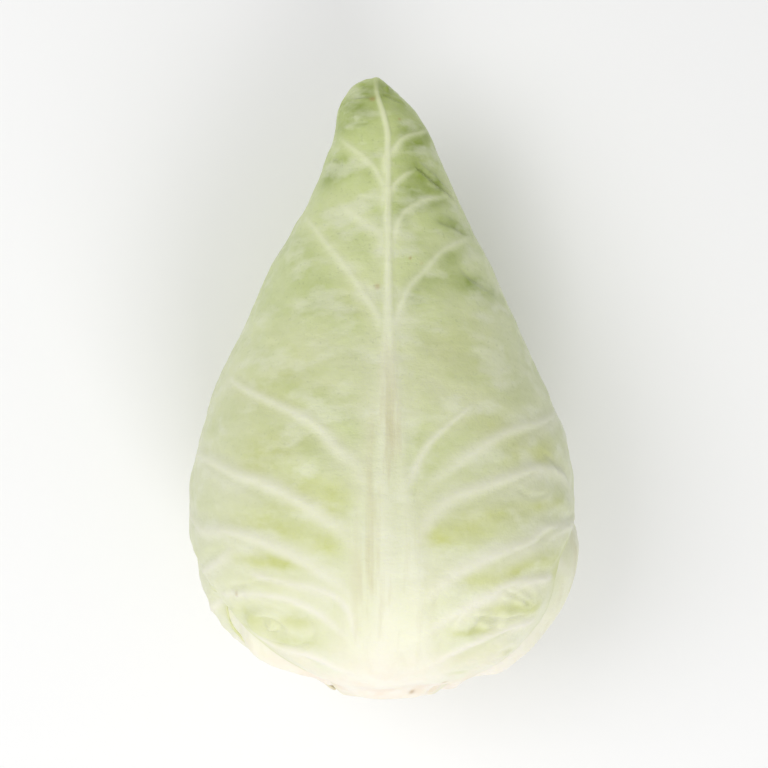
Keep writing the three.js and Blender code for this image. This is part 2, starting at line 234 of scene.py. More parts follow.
# From the outermost leaf inwards.
LEAVES = [
    FRONT_LEAF,
    plain_leaf("underside_leaf", "outer_leaf", 228, 0.034, 12, 0.2, 1.04, OUTER_STEPS),
    plain_leaf("right_leaf", "outer_leaf", 4, 0.030, 13, 0.6, 0.98, OUTER_STEPS),
    plain_leaf("left_leaf", "inner_leaf", 152, 0.026, 14, 0.1, 0.96, INNER_STEPS),
    plain_leaf("back_right_leaf", "inner_leaf", 286, 0.022, 15, 0.1, 0.96, INNER_STEPS),
    plain_leaf("upper_right_leaf", "inner_leaf", 52, 0.018, 16, 0.0, 0.92, INNER_STEPS),
]
# One point of a leaf's hidden inner face stands for this many along each way of its outer.
INNER_COARSENESS = 4


# ------------------------------------------------------------------ small helpers

def smooth_step(x, start, end):
    t = np.clip((x - start) / (end - start), 0, 1)
    return t * t * (3 - 2 * t)


def blend(a, b, t):
    return a + (b - a) * t


def bump(x, width):
    return np.exp(-(x / width) ** 2)


def smooth_curve(knots, values):
    """A smooth curve through the values at rising knots, as a function of an array."""
    knots = np.asarray(knots, float)
    values = np.asarray(values, float)
    slopes = np.diff(values) / np.diff(knots)
    tangents = np.concatenate([slopes[:1], (slopes[:-1] + slopes[1:]) / 2, slopes[-1:]])

    def curve(x):
        place = np.clip(x, knots[0], knots[-1])
        i = np.clip(np.searchsorted(knots, place) - 1, 0, len(slopes) - 1)
        span = knots[i + 1] - knots[i]
        t = (place - knots[i]) / span
        rise = values[i + 1] - values[i]
        a = tangents[i] * span - rise
        b = rise - tangents[i + 1] * span
        return values[i] + rise * t + t * (1 - t) * (a * (1 - t) + b * t)

    return curve


RIB_WIDTH_AT = smooth_curve(RIB_PLACES, RIB_WIDTHS)
RIB_HEIGHT_AT = smooth_curve(RIB_PLACES, RIB_HEIGHTS)
FRONT_RIB_SWAY_AT = smooth_curve(FRONT_RIB_PLACES, FRONT_RIB_SWAY)


def wrap_turn(angle):
    return np.arctan2(np.sin(angle), np.cos(angle))


class Ripple:
    """A smooth seeded field of mixed waves in space, about -1 to 1."""

    def __init__(self, seed, wavelength, waves=14):
        rng = np.random.default_rng(seed)
        directions = rng.normal(size=(waves, 3))
        directions /= np.linalg.norm(directions, axis=1)[:, None]
        lengths = wavelength * rng.uniform(0.7, 1.5, waves)
        self.vectors = directions * (2 * np.pi / lengths)[:, None]
        self.phases = rng.uniform(0, 2 * np.pi, waves)

    def __call__(self, points):
        return np.sin(points @ self.vectors.T + self.phases).sum(axis=-1) / len(self.phases) * 1.6


# ------------------------------------------------------------------ envelope of the head

outline = HEAD_OUTLINE * [HEAD_LENGTH, HEAD_WIDTH, HEAD_WIDTH, HEAD_HEIGHT, HEAD_HEIGHT]
mean_radius = outline[:, 1:].mean(axis=1)
strides = np.hypot(np.diff(outline[:, 0]), np.diff(mean_radius))
travelled = np.concatenate([[0], np.cumsum(strides)])
ENVELOPE_PATH = travelled[-1]
reach_knots = travelled / ENVELOPE_PATH
along_at, left_at, right_at, up_at, down_at = [
    smooth_curve(reach_knots, column) for column in outline.T]
radius_at = smooth_curve(reach_knots, mean_radius)
MIDDLE = np.array([AXIS_X, FOOT_Y + BELLY * HEAD_LENGTH, AXIS_Z])


def head_point(reach, turn, depth):
    """Points at a depth below the envelope. The underside lies pressed flat on the floor."""
    across = np.cos(turn)
    upward = np.sin(turn)
    lean = TIP_LEAN * smooth_step(along_at(reach) / HEAD_LENGTH, 0.88, 0.985)
    point = np.stack([
        AXIS_X - lean + across * np.where(across > 0, right_at(reach), left_at(reach)),
        FOOT_Y + along_at(reach),
        AXIS_Z + upward * np.where(upward > 0, up_at(reach), down_at(reach)),
    ], axis=-1)
    shrink = (1 - depth / LAYER_REFERENCE)[..., None]
    point = MIDDLE + (point - MIDDLE) * shrink
    point[..., 2] = np.maximum(point[..., 2], np.maximum(depth, 0))
    return point


# ------------------------------------------------------------------ leaves on the envelope

for leaf in LEAVES:
    for side in ("left", "right"):
        widths = np.radians(leaf[side]) * leaf["widen"]
        leaf[side + "_at"] = smooth_curve(OUTLINE_PLACES, widths)


def half_turn(leaf, side, place):
    """How far a leaf's margin lies from its midrib, on the side that side's sign says."""
    return np.where(side > 0, leaf["left_at"](place), leaf["right_at"](place))


def hood_shift(leaf, reach):
    """Near the tip a leaf is pushed past the point of the head, so that it hoods over it."""
    return leaf["hood"] * smooth_step(reach, 0.72, 0.97)


def shift_turn(leaf, reach, turn, shift):
    """Reach and turn after a shift across the tip, which is seen as the centre of a disc."""
    x = (1 - reach) * np.cos(turn) + shift * np.cos(np.radians(leaf["turn"]))
    y = (1 - reach) * np.sin(turn) + shift * np.sin(np.radians(leaf["turn"]))
    return 1 - np.hypot(x, y), np.arctan2(y, x)


def leaf_spot(leaf, place, turn_from_rib):
    """Reach and turn on the head of a spot on a leaf."""
    reach = blend(LEAF_FOOT_REACH, 1, place)
    turn = np.radians(leaf["turn"]) + turn_from_rib
    return shift_turn(leaf, reach, turn, -hood_shift(leaf, reach))


def from_midrib(leaf, reach, turn):
    """Place along a leaf, and turn from its midrib, of a spot on the head."""
    own_reach, own_turn = shift_turn(leaf, reach, turn, hood_shift(leaf, reach))
    place = np.clip((own_reach - LEAF_FOOT_REACH) / (1 - LEAF_FOOT_REACH), 0, 1)
    return place, wrap_turn(own_turn - np.radians(leaf["turn"]))


def layer_step(leaf, reach, turn):
    """How far one leaf pushes what is below it inwards, more so under its midrib's foot."""
    place, own_turn = from_midrib(leaf, reach, turn)
    from_rib = own_turn * radius_at(reach) / RIB_HALF_WIDTH
    return LAYER_STEP + RIB_STEP * (1 - place) ** 2 * np.exp(-from_rib ** 2)


def leaf_cover(leaf, reach, turn):
    """1 where a leaf covers the head, falling to 0 a little outside its margin."""
    place, own_turn = from_midrib(leaf, reach, turn)
    beyond = np.abs(own_turn) - half_turn(leaf, own_turn, place)
    scaled = beyond * np.minimum(1, radius_at(reach) / (0.33 * HEAD_WIDTH))
    return 1 - smooth_step(scaled, np.radians(1.5), np.radians(17))


def depth_below(count, reach, turn):
    """How far the outermost few leaves push what is below them under the envelope."""
    depth = np.zeros_like(reach)
    for leaf in LEAVES[:count]:
        depth = depth + layer_step(leaf, reach, turn) * leaf_cover(leaf, reach, turn)
    return depth


def gap_below(order, reach, turn):
    """From a leaf down to the next surface that lies under it."""
    depth = heart_depth(reach, turn)
    for below in reversed(range(order + 1, len(LEAVES))):
        place, own_turn = from_midrib(LEAVES[below], reach, turn)
        beyond = np.abs(own_turn) - half_turn(LEAVES[below], own_turn, place)
        reaches_here = 1 - smooth_step(beyond, np.radians(-6), 0)
        depth = blend(depth, depth_below(below, reach, turn), reaches_here)
    return depth - depth_below(order, reach, turn)


def heart_depth(reach, turn):
    """How deep the heart lies: under every leaf, and under the stalk at the foot."""
    packed = depth_below(len(LEAVES), np.maximum(reach, LEAF_FOOT_REACH), turn) + HEART_GAP
    return blend(STALK_DEPTH, packed, smooth_step(reach, 0, LEAF_FOOT_REACH))


# ------------------------------------------------------------------ veins and relief

def near_path(points, path):
    """Distance from each point to a path, and how far along the path that is, 0 to 1."""
    nearest = np.full(len(points), np.inf)
    along = np.zeros(len(points))
    lengths = np.linalg.norm(np.diff(path, axis=0), axis=1)
    starts = np.concatenate([[0], np.cumsum(lengths)])
    for start, end, length, before in zip(path[:-1], path[1:], lengths, starts):
        segment = end - start
        t = np.clip((points - start) @ segment / length ** 2, 0, 1)
        distance = np.linalg.norm(points - start - t[:, None] * segment, axis=1)
        closer = distance < nearest
        nearest[closer] = distance[closer]
        along[closer] = (before + t[closer] * length) / starts[-1]
    return nearest, along


def vein_path(leaf, spots, samples=30):
    """Points of a vein through (place, degrees from the midrib) spots, and their places."""
    spots = np.array(spots, float)
    if abs(spots[0, 1]) < 16:
        start, turn = spots[0]
        on_rib = [[start - 0.045, 0.25 * turn], [start - 0.02, 0.6 * turn]]
        spots = np.concatenate([on_rib, spots])
    knots = np.linspace(0, 1, len(spots))
    t = np.linspace(0, 1, samples)
    place = smooth_curve(knots, spots[:, 0])(t)
    turn = -np.radians(smooth_curve(knots, spots[:, 1])(t))
    reach = blend(LEAF_FOOT_REACH, 1, place)
    return head_point(reach, np.radians(leaf["turn"]) + turn, np.zeros_like(reach)), place


def leaf_veins(leaf):
    """Every side vein of a leaf, as its spots, width and height."""
    return FRONT_VEINS if leaf is FRONT_LEAF else plain_veins(leaf)


def plain_veins(leaf):
    """Seeded side veins for a leaf that the camera sees little of."""
    rng = np.random.default_rng(leaf["seed"])
    veins = []
    for side in (-1, 1):
        for step, start in enumerate(np.linspace(0.10, 0.80, 8)):
            place = start + rng.uniform(-0.025, 0.025)
            lift = rng.uniform(0.10, 0.15) * (1 - 0.45 * place)
            bend = rng.uniform(0.5, 0.8)
            spots = [(place, 2 * side), (place + lift * bend * 0.6, 12 * side),
                     (place + lift * bend, 28 * side), (place + lift * 0.95, 52 * side),
                     (place + lift * 1.05, 84 * side)]
            strength = 1.0 - 0.45 * place
            veins.append((spots, 1.9 * strength, 0.95 * strength * rng.uniform(0.7, 1.1)))
            if step < 6:
                fork = spots[2]
                fall = rng.uniform(0.02, 0.06)
                branch = [fork, (fork[0] - fall * 0.2, fork[1] + 18 * side),
                          (fork[0] - fall, fork[1] + 42 * side)]
                veins.append((branch, 1.1 * strength, 0.5 * strength))
    return veins


def midrib_relief(leaf, place, own_turn, radius, points):
    """A midrib's height, how strongly it shows as a vein and as a rib, and the gap to it."""
    sway = MM * FRONT_RIB_SWAY_AT(place) if leaf is FRONT_LEAF else 0
    offset = np.abs(own_turn * radius + sway)
    width = MM * RIB_WIDTH_AT(place)
    rib = np.exp(-np.abs(offset / width) ** 3)
    groove = bump(offset - 1.9 * width, 0.9 * width)
    wander = 1.2 * Ripple(leaf["seed"] + STRAND_SEED, 50 * MM)(points)
    strand_angle = own_turn * radius / width * 7 + wander
    stranded = bump(offset, 1.3 * width) * (1 - smooth_step(place, 0.45, 0.7))
    strands = np.cos(strand_angle) * stranded
    height = MM * RIB_HEIGHT_AT(place) * (rib - 0.18 * groove) + 0.16 * MM * strands
    vein_mask = rib * blend(0.42, 0.85, smooth_step(place, 0.35, 0.65)) + 0.10 * strands
    return height, vein_mask, rib, offset - width


def side_vein_relief(path, path_place, low_down, width, vein_height, points, head_place):
    """A side vein's height, its paleness, the green beside its crisp side, which is partly the
    leaf's own colour and partly painted shade of the ridge, and the distance to it.

    High on the head a vein is crisp on its lower side; low_down is 1 where it is crisp on
    its upper side instead, and swells towards the midrib.
    """
    distance, along = near_path(points, path)
    taper = blend(1 - 0.55 * along, 0.55 + 0.75 * along, low_down)
    own_width = width * MM * blend(0.80 * (1 - 0.45 * along), 2.1 - 1.45 * along, low_down)
    fade = smooth_step(along, 0.0, blend(0.16, 0.45, low_down))
    fade = fade * smooth_step(1.02 - along, 0, blend(0.30, 0.14, low_down))
    beside = np.interp(along, np.linspace(0, 1, len(path)), path_place)
    rise = (head_place - beside) * ENVELOPE_PATH
    above = smooth_step(rise / np.maximum(distance, 0.2 * MM), -0.35, 0.35)
    crisp = blend(1 - above, above, low_down)
    groove = bump(distance - 2.0 * own_width, 1.3 * own_width)
    crisp_ridge = bump(distance, 0.75 * own_width) - 0.42 * groove
    narrow = bump(distance, 1.2 * own_width)
    soft_ridge = 0.65 * narrow + 0.35 * bump(distance, 3.6 * own_width)
    ridge = vein_height * MM * taper * 0.70 * blend(soft_ridge, crisp_ridge, crisp) * fade
    soft_pale = 0.6 * narrow + 0.4 * bump(distance, 3.0 * own_width)
    pale = blend(soft_pale, bump(distance, 0.9 * own_width), crisp) * fade
    spread = blend(3.0, 4.5, low_down) * MM
    # Painted shade: the blade along the vein's crisp side is coloured darker green, standing in for
    # the ridge's shadow as well as the leaf's own deeper green there.
    green = crisp * fade * bump(distance - 2.2 * own_width - spread / 3, spread)
    green = green * smooth_step(1.1 - along, 0.1, 0.8)
    return ridge, pale * (0.50 + 0.20 * taper), green, distance


def unevenness(leaf, place, head_place, cell, rib, points):
    """The swells, crumples and crinkles of the blade between its veins, as a height."""
    seed = leaf["seed"]
    cells = cell * (0.35 + 0.60 * Ripple(seed + CELL_SEED, 24 * MM)(points))
    swells = 0.75 * Ripple(seed + SWELL_SEED, 62 * MM)(points)
    near_foot = 1 - smooth_step(place, 0.03, 0.15)
    foot = 0.90 * near_foot * Ripple(seed + FOOT_SEED, 15 * MM)(points)
    crumple = 0.30 + leaf["crumple"] * (1 - smooth_step(head_place, 0.25, 0.50))
    crumples = crumple * cell * Ripple(seed + CRUMPLE_SEED, 11 * MM)(points)
    crinkle = Ripple(seed + CRINKLE_SEED, 6 * MM)(points * [0.7, 1.5, 1.0])
    fine_crinkle = Ripple(seed + CRINKLE_SEED + 1, 3.5 * MM)(points)
    crinkles = (1 - rib) * (0.16 * crinkle + 0.05 * fine_crinkle)
    return MM * (cells + swells + foot + crumples + crinkles)


def relief(leaf, place, own_turn, head_place, head_turn, points):
    """How far the leaf stands out from its smooth layer, and its masks for the material."""
    radius = radius_at(blend(LEAF_FOOT_REACH, 1, place))
    height, vein_mask, rib, vein_gap = midrib_relief(leaf, place, own_turn, radius, points)
    vein_mask = vein_mask * blend(1, 0.35, smooth_step(head_place, 0.91, 0.99))
    # Green beside the veins and in the pucker troughs: partly the leaf's own colour, partly painted
    # shade.
    green = np.zeros_like(place)
    for spots, width, vein_height in leaf_veins(leaf):
        path, path_place = vein_path(leaf, spots)
        close = close_to(path, points)
        low_down = 1 - smooth_step(spots[0][0], 0.38, 0.60)
        ridge, pale, beside, distance = side_vein_relief(
            path, path_place, low_down, width, vein_height, points[close], head_place[close])
        height[close] += ridge
        vein_mask[close] = np.maximum(vein_mask[close], pale)
        green[close] = np.maximum(green[close], beside)
        vein_gap[close] = np.minimum(vein_gap[close], distance)

    cell = smooth_step(vein_gap, 1 * MM, 9 * MM)
    height = height + unevenness(leaf, place, head_place, cell, rib, points)
    if leaf is FRONT_LEAF:
        puckered = puckers(head_place, head_turn, radius, points)
        height = height + puckered - folds(leaf, points)
        # Painted shade: the troughs of the puckers are coloured green, as shade would fall in them.
        green = np.maximum(green, np.clip(-1.6 * puckered / MM, 0, 1))
    patchy = 0.55 + 0.55 * Ripple(leaf["seed"] + GREEN_SEED, 34 * MM)(points)
    return height, vein_mask, rib, cell, green * np.clip(patchy, 0, 1)


def close_to(path, points):
    """The numbers of the points in a box round a path."""
    low = path.min(axis=0) - 14 * MM
    high = path.max(axis=0) + 14 * MM
    return np.flatnonzero(np.all((points > low) & (points < high), axis=1))


def puckers(place, own_turn, radius, points):
    """Ringed puckers, as a height. A slow ripple keeps the rings from being round."""
    height = np.zeros_like(place)
    distortion = 1 + 0.35 * Ripple(PUCKER_SEED, 16 * MM)(points)
    for at_place, at_turn, size, pucker_height, spacing in FRONT_PUCKERS:
        along = (place - at_place) * ENVELOPE_PATH
        across = np.radians(np.degrees(-own_turn) - at_turn) * radius
        away = np.hypot(along * 1.3, across) * distortion
        rings = np.cos(2 * np.pi * away / (spacing * MM))
        height += pucker_height * MM * rings * bump(away, size * MM)
    return height


def folds(leaf, points):
    """Sharp folds, as a depth."""
    depth = np.zeros(len(points))
    for spots, width, fold_depth in FRONT_FOLDS:
        path, _ = vein_path(leaf, spots)
        close = close_to(path, points)
        distance, along = near_path(points[close], path)
        ends = smooth_step(along, 0, 0.2) * smooth_step(1 - along, 0, 0.2)
        lip = bump(distance - 2 * width * MM, 1.2 * width * MM)
        depth[close] += fold_depth * MM * ends * (bump(distance, width * MM) - 0.5 * lip)
    return depth


def scars(place, own_turn, radius):
    """Small round scars, 1 in the middle of each."""
    mask = np.zeros_like(place)
    for at_place, at_turn, size in FRONT_SCARS:
        across = np.radians(np.degrees(-own_turn) - at_turn) * radius
        away = np.hypot((place - at_place) * ENVELOPE_PATH, across)
        mask = np.maximum(mask, bump(away, size * MM))
    return mask


def patches(spots, place, own_turn):
    """Soft patches given as place, turn, spread along, spread across and strength."""
    total = np.zeros_like(place)
    for at_place, at_turn, spread_place, spread_turn, strength in spots:
        across = (np.degrees(-own_turn) - at_turn) / spread_turn
        along = (place - at_place) / spread_place
        total = total + strength * np.exp(-across ** 2 - along ** 2)
    return np.clip(total, 0, 1)


# ------------------------------------------------------------------ meshes

# What the leaf material reads at each point of a leaf.
LEAF_MASKS = ("along", "vein", "cell", "side", "rim", "rib", "deep_green_and_shade", "yellow", "green", "scar")


def make_piece(node, points, faces, masks):
    """A mesh that stands for one node of the part, with its masks as point attributes."""
    name = node + "_detailed"
    mesh = bpy.data.meshes.new(name)
    mesh.from_pydata(points.tolist(), [], faces)
    mesh.update()
    mesh.polygons.foreach_set("use_smooth", [True] * len(mesh.polygons))
    for mask_name, values in masks.items():
        layer = mesh.attributes.new(mask_name, "FLOAT", "POINT")
        layer.data.foreach_set("value", np.asarray(values, np.float32))
    piece = bpy.data.objects.new(name, mesh)
    bpy.context.scene.collection.objects.link(piece)
    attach(piece, "root")
    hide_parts(node)
    return piece


def grid_faces(rows, columns, first=0, flip=False):
    """Quads of a grid of points numbered row by row."""
    index = first + np.arange(rows * columns).reshape(rows, columns)
    quads = np.stack([index[:-1, :-1], index[:-1, 1:], index[1:, 1:], index[1:, :-1]], axis=-1)
    quads = quads.reshape(-1, 4)
    return (quads[:, ::-1] if flip else quads).tolist()


def border(rows, columns, first=0):
    """The point numbers round a grid, once round, starting at its first corner."""
    index = first + np.arange(rows * columns).reshape(rows, columns)
    return np.concatenate([index[0, :-1], index[:-1, -1], index[-1, :0:-1], index[:0:-1, 0]])


def leaf_grid(leaf):
    """Place, side (-1 to 1) and turn of a leaf's points. Its margins waver a little."""
    steps_along, steps_across = leaf["steps"]
    t = np.linspace(0, 1, steps_along + 1)
    places = (t - 0.05 * np.sin(2 * np.pi * t)) * 0.9965
    sides = np.linspace(-1, 1, steps_across + 1)
    place, side = np.meshgrid(places, sides, indexing="ij")
    edge_points = np.stack([place * 3, np.sign(side), 0 * side], axis=-1)
    waver = 0.030 * Ripple(leaf["seed"] + MARGIN_SEED, 0.42)(edge_points)
    waver = waver + 0.012 * Ripple(leaf["seed"] + MARGIN_SEED + 1, 0.12)(edge_points)
    waver = waver * smooth_step(place, 0.02, 0.15) * smooth_step(1 - place, 0, 0.12)
    own_turn = side * half_turn(leaf, side, place) * (1 + waver)
    return place.ravel(), side.ravel(), own_turn.ravel()


def blade_faces(rows, columns):
    """Faces of a closed blade, and which points of its outer grid its inner grid repeats."""
    index = np.arange(rows * columns).reshape(rows, columns)
    kept = index[::INNER_COARSENESS, ::INNER_COARSENESS]
    faces = grid_faces(rows, columns, flip=True)
    faces += grid_faces(*kept.shape, first=rows * columns)
    outer_rim = border(rows, columns)
    inner_rim = border(*kept.shape, first=rows * columns)
    for i, corner in enumerate(inner_rim):
        first = INNER_COARSENESS * i
        run = [outer_rim[(first + k) % len(outer_rim)] for k in range(INNER_COARSENESS + 1)]
        after = inner_rim[(i + 1) % len(inner_rim)]
        faces += [[int(run[k]), int(run[k + 1]), int(corner)] for k in range(INNER_COARSENESS)]
        faces.append([int(run[-1]), int(after), int(corner)])
    return faces, kept.ravel()


def leaf_piece(order):
    """One leaf as a closed blade, tucked down to what lies under it along its margin."""
    leaf = LEAVES[order]
    place, side, own_turn = leaf_grid(leaf)
    reach, turn = leaf_spot(leaf, place, own_turn)
    radius = radius_at(reach)
    surface = head_point(reach, turn, np.zeros_like(reach))
    head_place = (reach - LEAF_FOOT_REACH) / (1 - LEAF_FOOT_REACH)
    head_turn = wrap_turn(turn - np.radians(leaf["turn"]))
    height, vein_mask, rib, cell, green = relief(
        leaf, place, own_turn, head_place, head_turn, surface)

    margin = (1 - np.abs(side)) * half_turn(leaf, side, place) * radius
    margin = np.minimum(margin, (1 - place) * ENVELOPE_PATH + 4 * MM)
    tuck = (1 - smooth_step(margin, 0, 14 * MM)) * np.minimum(1, radius / (26 * MM)) ** 2
    sink = np.clip(gap_below(order, reach, turn) - 0.6 * MM, 1.0 * MM, 7 * MM)
    lift = 0.5 + 0.5 * Ripple(leaf["seed"] + MARGIN_SEED + 2, 45 * MM)(surface)
    sink = blend(sink, 0.85 * sink, np.clip(lift, 0, 1)) * smooth_step(place, 0, 0.02)
    covered = depth_below(order, reach, turn)
    free = 1 - smooth_step(covered, 0.4 * MM, 2.2 * MM)
    height = height * blend(0.35, 1, free) * smooth_step(reach, 0.06, 0.10)
    depth = covered - height * (1 - 0.6 * tuck) + tuck * sink

    near_rib = bump(own_turn * radius, RIB_HALF_WIDTH)
    thickness = BLADE + (FOOT_THICKNESS - BLADE) * (1 - place) ** 3 * near_rib
    thickness = thickness * blend(0.45, 1, smooth_step(margin, 0, 3 * MM))
    inner_depth = depth + np.maximum(height, -0.3 * MM) * 0.8 + thickness
    outer = head_point(reach, turn, depth)
    inner = head_point(reach, turn, inner_depth)
    steps_along, steps_across = leaf["steps"]
    faces, kept = blade_faces(steps_along + 1, steps_across + 1)

    masks = dict.fromkeys(LEAF_MASKS, np.zeros_like(place))
    masks.update(along=place, vein=vein_mask, cell=cell, rib=rib, green=green)
    # How far round from the midrib a point lies; the material paints sheen and shade by it, greyer
    # and darker toward the sides.
    masks["side"] = np.abs(own_turn) / np.radians(100)
    masks["rim"] = np.exp(-margin / (2.5 * MM))
    if leaf is FRONT_LEAF:
        # Deeper green patches, partly the leaf's own colour and partly painted shade beside veins
        # and folds.
        masks["deep_green_and_shade"] = patches(FRONT_DEEP_GREEN_AND_SHADE, head_place, head_turn)
        masks["yellow"] = patches(FRONT_YELLOW, head_place, head_turn)
        masks["scar"] = scars(head_place, head_turn, radius)
    masks = {name: np.concatenate([values, values[kept]]) for name, values in masks.items()}
    points = np.concatenate([outer, inner[kept]])
    return make_piece(leaf["node"], points, faces, masks)


def ringed_piece(node, rings, masks):
    """A closed body from rings of points, each a full turn, capped by a fan at both ends."""
    count, around = rings.shape[:2]
    ends = [rings[:1].mean(axis=1), rings[-1:].mean(axis=1)]
    points = np.concatenate([rings.reshape(-1, 3), *ends])
    index = np.arange(count * around).reshape(count, around)
    beside = np.roll(index, -1, axis=1)
    quads = np.stack([index[:-1], beside[:-1], beside[1:], index[1:]], axis=-1).reshape(-1, 4)
    faces = quads[:, ::-1].tolist()
    foot, tip = count * around, count * around + 1
    faces += [[foot, int(a), int(b)] for a, b in zip(index[0], beside[0])]
    faces += [[tip, int(b), int(a)] for a, b in zip(index[-1], beside[-1])]
    masks = {key: np.append(values.ravel(), [values[0].mean(), values[-1].mean()])
             for key, values in masks.items()}
    return make_piece(node, points, faces, masks)


def heart_piece():
    """The closed head of inner leaves, which the outer leaves lie on."""
    t = np.linspace(0.004, 0.998, 150)
    turns = np.linspace(0, 2 * np.pi, 140, endpoint=False)
    reach, turn = np.meshgrid(t, turns, indexing="ij")
    surface = head_point(reach, turn, np.zeros_like(reach))
    swells = 0.5 * MM * Ripple(HEART_SEED, 30 * MM)(surface)
    rings = head_point(reach, turn, heart_depth(reach, turn) - swells + 0.5 * MM)
    masks = dict.fromkeys(LEAF_MASKS, np.zeros_like(reach))
    # A middling side value gives the heart a light, even share of the painted sheen and shade of
    # the sides.
    masks.update(along=reach, cell=np.ones_like(reach), side=np.full_like(reach, 0.5))
    return ringed_piece("heart", rings, masks)


def stalk_piece():
    """The stump: a cut face with a pith, a woody ring and fine rays, then its tapering side."""
    turns = np.linspace(0, 2 * np.pi, 180, endpoint=False)
    face = np.linspace(0.02, 1, 44)
    radial, turn = np.meshgrid(face, turns, indexing="ij")
    spots = head_point(radial * STALK_REACH, turn, np.zeros_like(radial))
    ring = 0.35 * MM * bump(radial - 0.70, 0.07)
    rays = 0.16 * MM * np.cos(22 * turn + 3 * np.sin(2 * turn)) * smooth_step(radial, 0.45, 0.7)
    rim_round = 1.0 * MM * smooth_step(radial, 0.93, 1.0)
    dish = 0.7 * MM * (1 - smooth_step(radial, 0.2, 0.65))
    dish = dish + 0.25 * MM * Ripple(STALK_SEED, 6 * MM)(spots)
    depth = dish - ring + rays + rim_round + 0.3 * MM
    cut = head_point(radial * STALK_REACH, turn, depth)

    down = np.linspace(0, 1, 12)[1:]
    side_turn = np.broadcast_to(turns, (len(down), len(turns)))
    side_reach = np.full_like(side_turn, STALK_REACH)
    side_bottom = heart_depth(side_reach, side_turn) - STALK_GAP
    flank = head_point(side_reach, side_turn, blend(depth[-1], side_bottom, down[:, None]))

    back = np.linspace(1, 0.02, 8)[1:]
    back_reach = np.broadcast_to((back * STALK_REACH)[:, None], (len(back), len(turns)))
    back_turn = np.broadcast_to(turns, back_reach.shape)
    inside = head_point(back_reach, back_turn, heart_depth(back_reach, back_turn) - STALK_GAP)
    rings = np.concatenate([cut, flank, inside])
    back_radial = np.broadcast_to(back[:, None], back_turn.shape)
    all_radial = np.concatenate([radial, np.ones_like(side_turn), back_radial])
    return ringed_piece("stalk", rings, {"radial": all_radial})


# ------------------------------------------------------------------ materials

class Nodes:
    """Short calls that add shader nodes and link what they are given."""

    def __init__(self, name):
        self.material = bpy.data.materials.new(name)
        self.material.use_nodes = True
        self.tree = self.material.node_tree
        self.shader = self.tree.nodes["Principled BSDF"]

    def add(self, kind, **inputs):
        node = self.tree.nodes.new(kind)
        for key, value in inputs.items():
            self.set(node.inputs[key.replace("_", " ")], value)
        return node

    def set(self, socket, value):
        if isinstance(value, bpy.types.NodeSocket):
            self.tree.links.new(value, socket)
        else:
            socket.default_value = value

    def mask(self, name):
        node = self.tree.nodes.new("ShaderNodeAttribute")
        node.attribute_name = name
        return node.outputs["Fac"]

    def math(self, operation, a, b):
        node = self.tree.nodes.new("ShaderNodeMath")
        node.operation = operation
        self.set(node.inputs[0], a)
        self.set(node.inputs[1], b)
        return node.outputs[0]

    def mix(self, factor, a, b):
        node = self.tree.nodes.new("ShaderNodeMix")
        node.data_type = "RGBA"
        self.set(node.inputs["Factor"], factor)
        self.set(node.inputs["A"], a)
        self.set(node.inputs["B"], b)
        return node.outputs["Result"]

    def ramp(self, factor, stops):
        node = self.tree.nodes.new("ShaderNodeValToRGB")
        elements = node.color_ramp.elements
        while len(elements) < len(stops):
            elements.new(0.5)
        for element, (position, colour) in zip(elements, stops):
            element.position = position
            element.color = colour
        self.set(node.inputs["Fac"], factor)
        return node.outputs["Color"]

    def noise(self, scale, detail=4.0, stretch=None):
        place = self.tree.nodes.new("ShaderNodeTexCoord").outputs["Object"]
        if stretch:
            mapping = self.add("ShaderNodeMapping", Vector=place, Scale=stretch)
            place = mapping.outputs["Vector"]
        node = self.add("ShaderNodeTexNoise", Vector=place, Scale=scale, Detail=detail)
        return node.outputs["Fac"]

    def range(self, value, low, high, to_low=0.0, to_high=1.0):
        node = self.tree.nodes.new("ShaderNodeMapRange")
        node.inputs["From Min"].default_value = low
        node.inputs["From Max"].default_value = high
        node.inputs["To Min"].default_value = to_low
        node.inputs["To Max"].default_value = to_high
        self.set(node.inputs["Value"], value)
        return node.outputs["Result"]


def colour(red, green, blue):
    """An sRGB colour, 0 to 255, as the linear colour that a shader takes."""
    values = np.array([red, green, blue]) / 255
    linear = np.where(values < 0.04045, values / 12.92, ((values + 0.055) / 1.055) ** 2.4)
    return (*linear.tolist(), 1.0)


